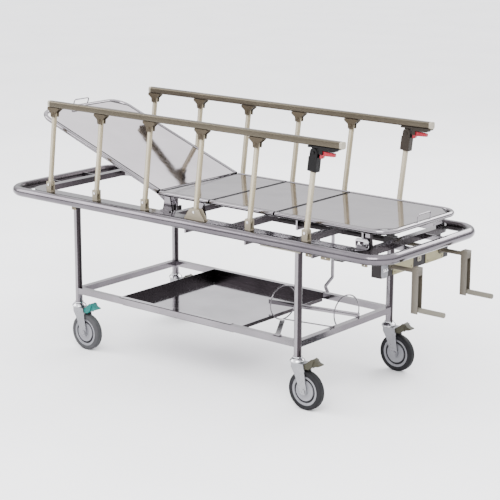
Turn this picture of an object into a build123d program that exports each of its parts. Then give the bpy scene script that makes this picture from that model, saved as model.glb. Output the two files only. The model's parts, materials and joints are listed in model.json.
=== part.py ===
from build123d import *
import os
from math import cos, radians, sin, sqrt

os.makedirs("parts", exist_ok=True)

# Hospital stretcher trolley. Millimetres, +Z up, +X towards the foot end, -Y the near side.
# The origin is on the floor, under the middle of the whole object's box.

# ---------------------------------------------------------------- driving dimensions
BUMPER_LENGTH = 2000
BUMPER_WIDTH = 707
BUMPER_TUBE = 40
BUMPER_CORNER = 95
BUMPER_Z = 640
CRANK_REACH = 148                       # crank grips stand this far past the bumper
HEAD_X = -(BUMPER_LENGTH + CRANK_REACH) / 2
MID_X = HEAD_X + 1002                   # middle of the four legs

LEG_HALF_X = 587
LEG_HALF_Y = 306
LEG_TUBE = 30
LEG_TOP = 620
WALL = 1.5
RAIL = 25                               # square tube of the lower frame
LOWER_Z = 240

FRAME_TOP = 655
FRAME_HEIGHT = 25
FRAME_HEAD = -882                       # frame's ends, from MID_X
FRAME_FOOT = 875
FRAME_HALF_Y = 309
SIDE_WIDTH = 54
END_WIDTH = 34
CROSS_MEMBERS = (-85, 230, 560)

DECK_Z = 722                            # middle of the deck's edge tube
DECK_HALF_Y = 245
DECK_TUBE = 19
CROSS_TUBE = 16
PLATE = 2
HINGE_Z = 718
PLATE_Z = 726.3                         # underside of the deck plates
PLATE_HALF_Y = 236
BACK_HINGE = -170
THIGH_HINGE = 94
KNEE_HINGE = 422
DECK_FOOT = 938                         # middle of the foot edge tube
BACK_LENGTH = 745                       # hinge to the middle of the head edge tube
BACK_REST_ANGLE = 20
EDGE_CORNER = 72
PLATE_CHAMFER = 60

LEVER = 85                              # hinge axis to drive pin
BACK_LEVER_ANGLE = 35
KNEE_LEVER_ANGLE = 17.5
CRANK_Y = 167
CRANK_Z = 583
ROD = 25
SCREW = 16
PIN_SLOT = 14

POST_PITCH = {"near": 274, "far": 270}
POST_FIRST = {"near": -760, "far": -722}    # first post's lower pivot, from MID_X
POST_LENGTH = 310
POST_LEAN = 6.6
RAIL_END = {"near": 773, "far": 778}    # foot end of each top rail, from MID_X
POST_Y = 290
POST_PIVOT_Z = 686
POST_WIDE = 20
POST_THICK = 16
CHEEK_IN = 8.5
CHEEK_OUT = 12.5
BOLT = 3
SHAFT_FIT = 0.05                        # radial running clearance

WHEEL_R = 77.5
TYRE_WIDTH = 32
HUB_R = 59
TRAIL = 45
FORK_TOP = 183.7
LEG_BOTTOM = 204

BUMPER_R = BUMPER_TUBE / 2
EDGE_R = DECK_TUBE / 2
CROSS_R = CROSS_TUBE / 2
ROD_R = ROD / 2
SCREW_R = SCREW / 2
FRAME_BOTTOM = FRAME_TOP - FRAME_HEIGHT
SIDES = {"near": -1, "far": 1}
ENDS = {"head": -1, "foot": 1}


def box(low, high, mode=Mode.ADD):
    """A box between two corners."""
    size = [b - a for a, b in zip(low, high)]
    middle = [(a + b) / 2 for a, b in zip(low, high)]
    with Locations(tuple(middle)):
        Box(*size, mode=mode)


def rod_y(x, z, radius, y_low, y_high, mode=Mode.ADD):
    """A round bar along Y."""
    with Locations((x, (y_low + y_high) / 2, z)):
        Cylinder(radius, y_high - y_low, rotation=(90, 0, 0), mode=mode)


def rod_x(y, z, radius, x_low, x_high, mode=Mode.ADD):
    """A round bar along X."""
    with Locations(((x_low + x_high) / 2, y, z)):
        Cylinder(radius, x_high - x_low, rotation=(0, 90, 0), mode=mode)


def rod_z(x, y, radius, z_low, z_high, mode=Mode.ADD):
    """A round bar along Z."""
    with Locations((x, y, (z_low + z_high) / 2)):
        Cylinder(radius, z_high - z_low, mode=mode)


def bolt_y(x, z, radius, y_low, y_high):
    """A bolt along Y whose head and nut stand just outside y_low and y_high."""
    head = 3
    gap = 0.1
    rod_y(x, z, radius, y_low - gap - head, y_high + gap + head)
    rod_y(x, z, radius * 1.7, y_low - gap - head, y_low - gap)
    rod_y(x, z, radius * 1.7, y_high + gap, y_high + gap + head)


def plate_y(points, y_low, y_high, mode=Mode.ADD):
    """An upright plate: an outline in X and Z between two values of Y."""
    with BuildSketch(Plane.XZ.offset(-y_low)) as outline:
        with BuildLine():
            Polyline(*points, close=True)
        make_face()
    extrude(outline.sketch, amount=-(y_high - y_low), mode=mode)


def link_y(start, end, width, y_low, y_high):
    """A flat link with round ends between two points of X and Z."""
    run = Vector(end[0] - start[0], 0, end[1] - start[1])
    plane = Plane(origin=(start[0], y_low, start[1]), x_dir=run, z_dir=(0, 1, 0))
    with BuildSketch(plane) as outline:
        with Locations((run.length / 2, 0)):
            SlotCenterToCenter(run.length, width)
    extrude(outline.sketch, amount=y_high - y_low)


def tube_path(points, radius, tube_radius, wall=WALL):
    """A round tube along straight runs joined by arcs."""
    with BuildLine() as path:
        FilletPolyline(*points, radius=radius)
    start = path.line @ 0
    with BuildSketch(Plane(origin=start, z_dir=path.line % 0)) as ring:
        Circle(tube_radius)
        if wall:
            Circle(tube_radius - wall, mode=Mode.SUBTRACT)
    sweep(ring.sketch, path=path.line)


def post_x(name, index):
    """X of a side-rail post's lower pivot, for index 0 to 5."""
    return MID_X + POST_FIRST[name] + POST_PITCH[name] * index


RAIL_SHIFT = POST_LENGTH * sin(radians(POST_LEAN))
TOP_PIVOT_Z = POST_PIVOT_Z + POST_LENGTH * cos(radians(POST_LEAN))
RAIL_BOTTOM = TOP_PIVOT_Z + 25
RAIL_TALL = 27
RAIL_WIDE = 26


def top_pivot_x(name, index):
    """X of a side-rail post's upper pivot."""
    return post_x(name, index) + RAIL_SHIFT


# ---------------------------------------------------------------- bumper
bumper_mid = HEAD_X + BUMPER_LENGTH / 2
half_l = BUMPER_LENGTH / 2 - BUMPER_R
half_w = BUMPER_WIDTH / 2 - BUMPER_R
with BuildPart() as bumper_rail:
    with BuildLine() as bumper_path:
        FilletPolyline(
            (bumper_mid, -half_w, BUMPER_Z),
            (bumper_mid + half_l, -half_w, BUMPER_Z),
            (bumper_mid + half_l, half_w, BUMPER_Z),
            (bumper_mid - half_l, half_w, BUMPER_Z),
            (bumper_mid - half_l, -half_w, BUMPER_Z),
            (bumper_mid - 1, -half_w, BUMPER_Z),
            radius=BUMPER_CORNER,
        )
        Line((bumper_mid - 1, -half_w, BUMPER_Z), (bumper_mid, -half_w, BUMPER_Z))
    with BuildSketch(Plane(origin=(bumper_mid, -half_w, BUMPER_Z), z_dir=(1, 0, 0))):
        Circle(BUMPER_R)
        Circle(BUMPER_R - WALL, mode=Mode.SUBTRACT)
    sweep(path=bumper_path.line)
    for vent_x in (bumper_mid - half_l / 2, bumper_mid + half_l / 2):
        rod_z(vent_x, half_w, 3, BUMPER_Z - BUMPER_TUBE, BUMPER_Z, Mode.SUBTRACT)
bumper_rail.part.label = "bumper_rail"
export_step(bumper_rail.part, "parts/bumper_rail.step")

# ---------------------------------------------------------------- main frame
frame_mid = MID_X + (FRAME_HEAD + FRAME_FOOT) / 2
frame_length = FRAME_FOOT - FRAME_HEAD
frame_width = 2 * FRAME_HALF_Y
FRAME_CORNER = 70
INNER_CORNER = 30
SKIN = 2
VENT = 3
guide_bottom = CRANK_Z - 24
with BuildPart() as main_frame:
    with BuildSketch(Plane.XY.offset(FRAME_BOTTOM)):
        with Locations((frame_mid, 0)):
            RectangleRounded(frame_length, frame_width, FRAME_CORNER)
            RectangleRounded(
                frame_length - 2 * END_WIDTH,
                frame_width - 2 * SIDE_WIDTH,
                INNER_CORNER,
                mode=Mode.SUBTRACT,
            )
    extrude(amount=FRAME_HEIGHT)
    with BuildSketch(Plane.XY.offset(FRAME_BOTTOM + SKIN)):
        with Locations((frame_mid, 0)):
            RectangleRounded(frame_length - 2 * SKIN, frame_width - 2 * SKIN, FRAME_CORNER - SKIN)
            RectangleRounded(
                frame_length - 2 * END_WIDTH + 2 * SKIN,
                frame_width - 2 * SIDE_WIDTH + 2 * SKIN,
                INNER_CORNER + SKIN,
                mode=Mode.SUBTRACT,
            )
    extrude(amount=FRAME_HEIGHT - 2 * SKIN, mode=Mode.SUBTRACT)
    inner_y = FRAME_HALF_Y - SIDE_WIDTH
    # inverted channels across the frame, open below
    for offset in CROSS_MEMBERS:
        x = MID_X + offset
        half = FRAME_HEIGHT / 2
        box((x - half, -inner_y, FRAME_BOTTOM), (x + half, inner_y, FRAME_TOP))
        box(
            (x - half + SKIN, -inner_y, FRAME_BOTTOM),
            (x + half - SKIN, inner_y, FRAME_TOP - SKIN),
            Mode.SUBTRACT,
        )
    # hangers that guide the two drive rods
    for side, first in ((-1, -85), (1, 230)):
        for offset in [value for value in CROSS_MEMBERS if value >= first]:
            x = MID_X + offset
            y = side * CRANK_Y
            box((x - 4, y - 24, guide_bottom), (x + 4, y + 24, FRAME_TOP - SKIN))
            rod_x(y, CRANK_Z, ROD_R + 0.3, x - 4, x + 4, Mode.SUBTRACT)
    for side in SIDES.values():
        # uprights under the seat section, each on a foot on the side rail
        for offset in (BACK_HINGE + 42, THIGH_HINGE - 42):
            x = MID_X + offset
            low_y, high_y = sorted((side * (DECK_HALF_Y - 3), side * (DECK_HALF_Y + 3)))
            foot_low, foot_high = sorted((side * (DECK_HALF_Y - 3), side * (inner_y + 12)))
            plate_y(
                ((x - 26, FRAME_TOP), (x + 26, FRAME_TOP), (x + 13, 712.3), (x - 13, 712.3)),
                low_y,
                high_y,
            )
            box((x - 26, foot_low, FRAME_TOP), (x + 26, foot_high, FRAME_TOP + 4))
        # rests under the foot section
        x = MID_X + FRAME_FOOT - END_WIDTH / 2
        low_y, high_y = sorted((side * (DECK_HALF_Y - 12), side * (DECK_HALF_Y + 4)))
        plate_y(
            ((x - 15, FRAME_TOP), (x + 15, FRAME_TOP), (x + 9, 712.2), (x - 9, 712.2)),
            low_y,
            high_y,
        )
        # blocks that carry the legs
        for end in ENDS.values():
            x = MID_X + end * LEG_HALF_X
            low_y, high_y = sorted((side * 262, side * FRAME_HALF_Y))
            box((x - 26, low_y, LEG_TOP), (x + 26, high_y, FRAME_BOTTOM))
        # short welded pads between the side rail and the bumper
        for pad in (-700, -350, 0, 350, 700):
            x = MID_X + pad
            low_y, high_y = sorted((side * (FRAME_HALF_Y - 1), side * (FRAME_HALF_Y + 8)))
            box((x - 20, low_y, BUMPER_Z - 8), (x + 20, high_y, BUMPER_Z + 8))
            rod_x(side * half_w, BUMPER_Z, BUMPER_R + SHAFT_FIT, x - 21, x + 21, Mode.SUBTRACT)
    # spacer plates from the end bars to the bumper
    for side in (-1, 1):
        y = side * 105
        head_end = MID_X + FRAME_HEAD
        foot_end = MID_X + FRAME_FOOT
        box((HEAD_X + BUMPER_R, y - 3, BUMPER_Z - 9), (head_end + 1, y + 3, BUMPER_Z + 12))
        box((foot_end - 1, y - 3, BUMPER_Z - 9), (bumper_mid + half_l, y + 3, BUMPER_Z + 12))
        for x in (bumper_mid - half_l, bumper_mid + half_l):
            rod_y(x, BUMPER_Z, BUMPER_R + SHAFT_FIT, y - 4, y + 4, Mode.SUBTRACT)
    # drain holes
    for vent_x in (MID_X - 500, MID_X + 500):
        rod_z(vent_x, FRAME_HALF_Y - SIDE_WIDTH / 2, VENT, FRAME_BOTTOM - 1, FRAME_BOTTOM + 5, Mode.SUBTRACT)
    # sleeve hole for the drip rod, through the far side rail
    DRIP_X = MID_X + 327
    DRIP_Y = 265
    DRIP_R = 7
    rod_z(DRIP_X, DRIP_Y, DRIP_R + 2.6, FRAME_BOTTOM - 12, FRAME_TOP + 8)
    rod_z(DRIP_X, DRIP_Y, DRIP_R + 0.3, FRAME_BOTTOM - 13, FRAME_TOP + 9, Mode.SUBTRACT)
main_frame.part.label = "main_frame"
export_step(main_frame.part, "parts/main_frame.step")

# ---------------------------------------------------------------- legs and lower frame
leg_r = LEG_TUBE / 2
with BuildPart() as undercarriage:
    for side in SIDES.values():
        y = side * LEG_HALF_Y
        box(
            (MID_X - LEG_HALF_X, y - RAIL / 2, LOWER_Z),
            (MID_X + LEG_HALF_X, y + RAIL / 2, LOWER_Z + RAIL),
        )
    for end in ENDS.values():
        x = MID_X + end * LEG_HALF_X
        box((x - RAIL / 2, -LEG_HALF_Y, LOWER_Z), (x + RAIL / 2, LEG_HALF_Y, LOWER_Z + RAIL))
    bore = RAIL / 2 - WALL
    for side in SIDES.values():
        y = side * LEG_HALF_Y
        reach = LEG_HALF_X - leg_r - 1
        box(
            (MID_X - reach, y - bore, LOWER_Z + WALL),
            (MID_X + reach, y + bore, LOWER_Z + RAIL - WALL),
            Mode.SUBTRACT,
        )
        rod_z(MID_X - 300, y, VENT, LOWER_Z - 1, LOWER_Z + 5, Mode.SUBTRACT)
    for end in ENDS.values():
        x = MID_X + end * LEG_HALF_X
        reach = LEG_HALF_Y - leg_r - 1
        box((x - bore, -reach, LOWER_Z + WALL), (x + bore, reach, LOWER_Z + RAIL - WALL), Mode.SUBTRACT)
        rod_z(x, 180, VENT, LOWER_Z - 1, LOWER_Z + 5, Mode.SUBTRACT)
    for side in SIDES.values():
        for end in ENDS.values():
            x = MID_X + end * LEG_HALF_X
            y = side * LEG_HALF_Y
            rod_z(x, y, leg_r, LEG_BOTTOM, LEG_TOP)
            rod_z(x, y, leg_r - WALL, LEG_BOTTOM - 1, LEG_TOP - 4, Mode.SUBTRACT)
undercarriage.part.label = "undercarriage"
export_step(undercarriage.part, "parts/undercarriage.step")

# ---------------------------------------------------------------- storage tray
TRAY_HEAD = -343
TRAY_FOOT = 257
TRAY_HALF_Y = 292.5
TRAY_FLOOR = 228
TRAY_LIP = 15
TRAY_SKIN = 1.5
with BuildPart() as storage_tray:
    low_x = MID_X + TRAY_HEAD
    high_x = MID_X + TRAY_FOOT
    tray_top = LOWER_Z + RAIL + TRAY_SKIN
    box((low_x, -TRAY_HALF_Y, TRAY_FLOOR), (high_x, TRAY_HALF_Y, tray_top))
    box(
        (low_x + TRAY_SKIN, -TRAY_HALF_Y + TRAY_SKIN, TRAY_FLOOR + TRAY_SKIN),
        (high_x - TRAY_SKIN, TRAY_HALF_Y - TRAY_SKIN, tray_top),
        Mode.SUBTRACT,
    )
    # low lip at the foot side
    box(
        (high_x - TRAY_SKIN - 1, -TRAY_HALF_Y + TRAY_SKIN, TRAY_FLOOR + TRAY_LIP),
        (high_x + 1, TRAY_HALF_Y - TRAY_SKIN, tray_top + 1),
        Mode.SUBTRACT,
    )
    # flanges that lie on the side rails
    for side in SIDES.values():
        low_y, high_y = sorted((side * (TRAY_HALF_Y - TRAY_SKIN), side * (LEG_HALF_Y + 6)))
        box((low_x, low_y, LOWER_Z + RAIL), (high_x, high_y, tray_top))
storage_tray.part.label = "storage_tray"
export_step(storage_tray.part, "parts/storage_tray.step")

# ---------------------------------------------------------------- oxygen bottle holder
RING_R = 70
WIRE_R = 2.6
RING_TURN = 8.5
BAR_DROP = 25                           # the bar's middle, below the rings' middles
BAR_TALL = 18
ring_centres = ((MID_X + 272, 5, 289), (MID_X + 558, 48, 292))
ring_side = (sin(radians(RING_TURN)), cos(radians(RING_TURN)))
with BuildPart() as oxygen_holder:
    for cx, cy, cz in ring_centres:
        plane = Plane(origin=(cx, cy, cz), x_dir=(0, 0, 1), z_dir=(ring_side[1], -ring_side[0], 0))
        with BuildSketch(Plane(origin=(cx, cy, cz + RING_R), z_dir=(ring_side[0], ring_side[1], 0))):
            Circle(WIRE_R)
        revolve(axis=Axis((cx, cy, cz), plane.z_dir))
    # flat bar along the rings' far sides, ending at the foot cross rail
    reach = sqrt(RING_R ** 2 - BAR_DROP ** 2)
    sides = [
        Vector(cx + reach * ring_side[0], cy + reach * ring_side[1], cz - BAR_DROP)
        for cx, cy, cz in ring_centres
    ]
    run = (sides[1] - sides[0]).normalized()
    bar_low = sides[0] - run * 122
    bar_high_x = MID_X + LEG_HALF_X - RAIL / 2 - 0.5
    bar_length = (bar_high_x - bar_low.X) / run.X
    with BuildSketch(Plane(origin=bar_low, x_dir=(0, 0, 1), z_dir=run)):
        Rectangle(BAR_TALL, 5)
    extrude(amount=bar_length)
    # wire under the rings
    bottoms = [(cx, cy, cz - RING_R) for cx, cy, cz in ring_centres]
    wire = Vector(*bottoms[1]) - Vector(*bottoms[0])
    with BuildSketch(Plane(origin=bottoms[0], z_dir=wire)):
        Circle(WIRE_R)
    extrude(amount=wire.length)
    # flat brace to the near side rail
    brace_end = Vector(MID_X + 487, -LEG_HALF_Y + 6, LOWER_Z + RAIL + 5)
    brace = brace_end - Vector(*bottoms[0])
    with BuildSketch(Plane(origin=bottoms[0], x_dir=(-brace.Y, brace.X, 0), z_dir=brace)):
        Rectangle(20, 3)
    extrude(amount=brace.length)
    box(
        (brace_end.X - 15, -LEG_HALF_Y - 6, LOWER_Z + RAIL),
        (brace_end.X + 15, -LEG_HALF_Y + 10, LOWER_Z + RAIL + 5),
    )
oxygen_holder.part.label = "oxygen_holder"
export_step(oxygen_holder.part, "parts/oxygen_holder.step")

# ---------------------------------------------------------------- crank channel
CHANNEL_HALF_Y = 226
CHANNEL_LOW = 545
CHANNEL_HIGH = 605
channel_x = (MID_X + 862, MID_X + 905)
with BuildPart() as crank_channel:
    box((channel_x[0], -CHANNEL_HALF_Y, CHANNEL_LOW), (channel_x[1], CHANNEL_HALF_Y, CHANNEL_HIGH))
    box(
        (channel_x[0] + 3, -CHANNEL_HALF_Y + 3, CHANNEL_LOW - 1),
        (channel_x[1] - 3, CHANNEL_HALF_Y - 3, CHANNEL_HIGH - 3),
        Mode.SUBTRACT,
    )
    for side in SIDES.values():
        y = side * CRANK_Y
        # bearing bush, and the hanger up to the frame's foot bar
        rod_x(y, CRANK_Z, SCREW_R + 6, channel_x[0], channel_x[1])
        rod_x(y, CRANK_Z, SCREW_R + SHAFT_FIT, channel_x[0] - 1, channel_x[1] + 1, Mode.SUBTRACT)
        low_y, high_y = sorted((side * (CHANNEL_HALF_Y - 30), side * CHANNEL_HALF_Y))
        box((channel_x[0], low_y, CHANNEL_HIGH), (channel_x[0] + 10, high_y, FRAME_BOTTOM))
crank_channel.part.label = "crank_channel"
export_step(crank_channel.part, "parts/crank_channel.step")

# ---------------------------------------------------------------- post sockets and their bolts
SOCKET_TOP = 698
BRACED_POST = 3                         # this post has wide cheeks
with BuildPart() as post_sockets:
    for name, side in SIDES.items():
        for index in range(6):
            x = post_x(name, index)
            y = side * POST_Y
            box((x - 14, y - CHEEK_OUT, FRAME_TOP), (x + 13, y + CHEEK_OUT, FRAME_TOP + 3))
            if index == BRACED_POST:
                for low_y, high_y in ((y - CHEEK_OUT, y - CHEEK_IN), (y + CHEEK_IN, y + CHEEK_OUT)):
                    plate_y(
                        ((x - 52, FRAME_TOP), (x + 52, FRAME_TOP), (x + 22, SOCKET_TOP), (x - 22, SOCKET_TOP)),
                        low_y,
                        high_y,
                    )
            box((x - 14, y - CHEEK_OUT, FRAME_TOP), (x - 11.5, y + CHEEK_OUT, SOCKET_TOP))
            box((x - 14, y - CHEEK_OUT, FRAME_TOP), (x + 12, y - CHEEK_IN, SOCKET_TOP))
            box((x - 14, y + CHEEK_IN, FRAME_TOP), (x + 12, y + CHEEK_OUT, SOCKET_TOP))
            rod_y(x, POST_PIVOT_Z, BOLT + SHAFT_FIT, y - 14, y + 14, Mode.SUBTRACT)
post_sockets.part.label = "post_sockets"
export_step(post_sockets.part, "parts/post_sockets.step")

HINGE_BOLT = 3
LUG_WIDTH = 12
FIXED_LUG = (214, 218)                  # seat-side hinge plates, |Y| from and to
MOVING_LUG = (219, 223)                 # hinge plates of the section that turns
with BuildPart() as pivot_bolts:
    for name, side in SIDES.items():
        for index in range(6):
            y = side * POST_Y
            bolt_y(post_x(name, index), POST_PIVOT_Z, BOLT, y - CHEEK_OUT, y + CHEEK_OUT)
        for hinge in (BACK_HINGE, THIGH_HINGE):
            low_y, high_y = sorted((side * FIXED_LUG[0], side * MOVING_LUG[1]))
            bolt_y(MID_X + hinge, HINGE_Z, HINGE_BOLT, low_y, high_y)
pivot_bolts.part.label = "pivot_bolts"
export_step(pivot_bolts.part, "parts/pivot_bolts.step")


# ---------------------------------------------------------------- deck sections
def cross_tube(x, z=HINGE_Z):
    """A cross tube between the two edge tubes, with its bore open into them."""
    rod_y(x, z, CROSS_R, -DECK_HALF_Y, DECK_HALF_Y)


def bore_cross_tube(x, z=HINGE_Z):
    rod_y(x, z, CROSS_R - WALL, -DECK_HALF_Y, DECK_HALF_Y, Mode.SUBTRACT)


def bore_edge_tube(x_low, x_high):
    for side in SIDES.values():
        rod_x(side * DECK_HALF_Y, DECK_Z, EDGE_R - WALL, x_low, x_high, Mode.SUBTRACT)


def hinge_lugs(axis_x, tube_x, lug):
    """A pair of lugs from a cross tube to a hinge axis, bored for the bolt."""
    for side in SIDES.values():
        low_y, high_y = sorted((side * lug[0], side * lug[1]))
        link_y((tube_x, HINGE_Z), (axis_x, HINGE_Z), LUG_WIDTH, low_y, high_y)
        rod_y(axis_x, HINGE_Z, HINGE_BOLT + SHAFT_FIT, low_y - 1, high_y + 1, Mode.SUBTRACT)


def drive_lever(axis_x, tube_x, angle, y):
    """A lever from a cross tube down to its drive pin."""
    pin_x = axis_x + LEVER * sin(radians(angle))
    pin_z = HINGE_Z - LEVER * cos(radians(angle))
    link_y((tube_x, HINGE_Z), (pin_x, pin_z), CROSS_TUBE, y - 3, y + 3)
    rod_y(pin_x, pin_z, 5, y - 14, y + 14)


def hoop(x, z_low):
    """Bent wire that keeps the mattress on the end of the deck."""
    tube_path(
        ((x, -43, z_low), (x, -43, z_low + 32), (x, 43, z_low + 32), (x, 43, z_low)),
        8,
        2.5,
        0,
    )


def deck_plate(x_low, x_high, chamfer_x=None):
    """A flat plate, with chamfered corners at the end named by chamfer_x."""
    with BuildSketch(Plane.XY.offset(PLATE_Z)) as sketch:
        with Locations(((x_low + x_high) / 2, 0)):
            Rectangle(x_high - x_low, 2 * PLATE_HALF_Y)
        if chamfer_x is not None:
            corners = [v for v in sketch.vertices() if abs(v.X - chamfer_x) < 1]
            chamfer(corners, PLATE_CHAMFER)
    extrude(sketch.sketch, amount=PLATE)


def edge_run(x_open, x_closed):
    """The edge tube's path: in along the near side, round the end, back along the far side."""
    y = DECK_HALF_Y
    return ((x_open, -y, DECK_Z), (x_closed, -y, DECK_Z), (x_closed, y, DECK_Z), (x_open, y, DECK_Z))


LUG_REACH = 20
back_x = MID_X + BACK_HINGE
thigh_x = MID_X + THIGH_HINGE
knee_x = MID_X + KNEE_HINGE
foot_x = MID_X + DECK_FOOT
back_axis = Axis((back_x, 0, HINGE_Z), (0, 1, 0))
back_head = back_x - BACK_LENGTH

with BuildPart() as seat_frame:
    for side in SIDES.values():
        rod_x(side * DECK_HALF_Y, DECK_Z, EDGE_R, back_x + 3, thigh_x - 1.5)
    for x in (back_x + LUG_REACH, thigh_x - LUG_REACH):
        cross_tube(x)
    for x in (back_x + LUG_REACH, thigh_x - LUG_REACH):
        bore_cross_tube(x)
    bore_edge_tube(back_x + 2, thigh_x)
    hinge_lugs(back_x, back_x + LUG_REACH, FIXED_LUG)
    hinge_lugs(thigh_x, thigh_x - LUG_REACH, FIXED_LUG)
seat_frame.part.label = "seat_frame"
export_step(seat_frame.part, "parts/seat_frame.step")

with BuildPart() as seat_panel:
    deck_plate(back_x + 5, thigh_x - 1)
seat_panel.part.label = "seat_panel"
export_step(seat_panel.part, "parts/seat_panel.step")

with BuildPart() as backrest_frame:
    tube_path(edge_run(back_x - 12, back_head), EDGE_CORNER, EDGE_R)
    tubes = (back_x - 22, back_x - 260, back_x - 500)
    for x in tubes:
        cross_tube(x)
    for x in tubes:
        bore_cross_tube(x)
    for side in SIDES.values():
        rod_x(side * DECK_HALF_Y, DECK_Z, EDGE_R - WALL, back_x - 600, back_x - 11, Mode.SUBTRACT)
    hinge_lugs(back_x, back_x - 22, MOVING_LUG)
    drive_lever(back_x, back_x - 22, BACK_LEVER_ANGLE, -CRANK_Y)
    # long gusset that carries the lever's load along the backrest
    plate_y(
        (
            (back_x - 300, HINGE_Z - 7), (back_x - 300, HINGE_Z), (back_x - 22, HINGE_Z + 6),
            (back_x + 30, HINGE_Z - 44), (back_x + 44, HINGE_Z - 70), (back_x - 20, HINGE_Z - 62),
        ),
        -CRANK_Y - 3,
        -CRANK_Y + 3,
    )
    hoop(back_head, DECK_Z + 4)
backrest_frame.part = backrest_frame.part.rotate(back_axis, BACK_REST_ANGLE)
backrest_frame.part.label = "backrest_frame"
export_step(backrest_frame.part, "parts/backrest_frame.step")

with BuildPart() as backrest_panel:
    deck_plate(back_head + EDGE_R, back_x - 9, back_head + EDGE_R)
backrest_panel.part = backrest_panel.part.rotate(back_axis, BACK_REST_ANGLE)
backrest_panel.part.label = "backrest_panel"
export_step(backrest_panel.part, "parts/backrest_panel.step")

with BuildPart() as thigh_frame:
    for side in SIDES.values():
        rod_x(side * DECK_HALF_Y, DECK_Z, EDGE_R, thigh_x + 7, knee_x - 2)
    for x in (thigh_x + LUG_REACH, knee_x - LUG_REACH):
        cross_tube(x)
    for x in (thigh_x + LUG_REACH, knee_x - LUG_REACH):
        bore_cross_tube(x)
    bore_edge_tube(thigh_x + 6, knee_x)
    hinge_lugs(thigh_x, thigh_x + LUG_REACH, MOVING_LUG)
    hinge_lugs(knee_x, knee_x - LUG_REACH, FIXED_LUG)
    drive_lever(thigh_x, thigh_x + LUG_REACH, -KNEE_LEVER_ANGLE, CRANK_Y)
    for side in SIDES.values():
        low_y, high_y = sorted((side * FIXED_LUG[0], side * MOVING_LUG[1]))
        bolt_y(knee_x, HINGE_Z, HINGE_BOLT, low_y, high_y)
thigh_frame.part.label = "thigh_frame"
export_step(thigh_frame.part, "parts/thigh_frame.step")

with BuildPart() as thigh_panel:
    deck_plate(thigh_x + 7, knee_x - 2)
thigh_panel.part.label = "thigh_panel"
export_step(thigh_panel.part, "parts/thigh_panel.step")

with BuildPart() as leg_frame:
    tube_path(edge_run(knee_x + 6, foot_x), EDGE_CORNER, EDGE_R)
    tubes = (knee_x + LUG_REACH, knee_x + 250)
    for x in tubes:
        cross_tube(x)
    for x in tubes:
        bore_cross_tube(x)
    for side in SIDES.values():
        rod_x(side * DECK_HALF_Y, DECK_Z, EDGE_R - WALL, knee_x + 5, knee_x + 300, Mode.SUBTRACT)
    hinge_lugs(knee_x, knee_x + LUG_REACH, MOVING_LUG)
    hoop(foot_x, DECK_Z + 4)
leg_frame.part.label = "leg_frame"
export_step(leg_frame.part, "parts/leg_frame.step")

with BuildPart() as leg_panel:
    deck_plate(knee_x + 6, foot_x - EDGE_R, foot_x - EDGE_R)
leg_panel.part.label = "leg_panel"
export_step(leg_panel.part, "parts/leg_panel.step")

# ---------------------------------------------------------------- drive rods
NUT_X = 660
NUT = 40
back_lever_rest = radians(BACK_LEVER_ANGLE - BACK_REST_ANGLE)
BACK_SLOT_SHIFT = -1.2                  # the slot's middle, from the pin at rest
yokes = {
    "back_push_rod": (-1, back_x + LEVER * sin(back_lever_rest) + BACK_SLOT_SHIFT),
    "knee_pull_rod": (1, thigh_x - LEVER * sin(radians(KNEE_LEVER_ANGLE))),
}
for name, (side, slot_x) in yokes.items():
    y = side * CRANK_Y
    with BuildPart() as drive_rod:
        rod_x(y, CRANK_Z, ROD_R, slot_x - 16, MID_X + NUT_X + NUT)
        nut_half = ROD_R + 5
        box(
            (MID_X + NUT_X, y - nut_half, CRANK_Z - nut_half),
            (MID_X + NUT_X + NUT, y + nut_half, CRANK_Z + nut_half),
        )
        for cheek in (-1, 1):
            low_y, high_y = sorted((y + cheek * 5, y + cheek * 10))
            box((slot_x - 18, low_y, CRANK_Z - 8), (slot_x + 18, high_y, 662))
            box(
                (slot_x - PIN_SLOT / 2, low_y - 1, 624),
                (slot_x + PIN_SLOT / 2, high_y + 1, 663),
                Mode.SUBTRACT,
            )
        rod_x(y, CRANK_Z, SCREW_R + 1, slot_x + 40, MID_X + NUT_X + NUT + 1, Mode.SUBTRACT)
    drive_rod.part.label = name
    export_step(drive_rod.part, "parts/" + name + ".step")

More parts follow.
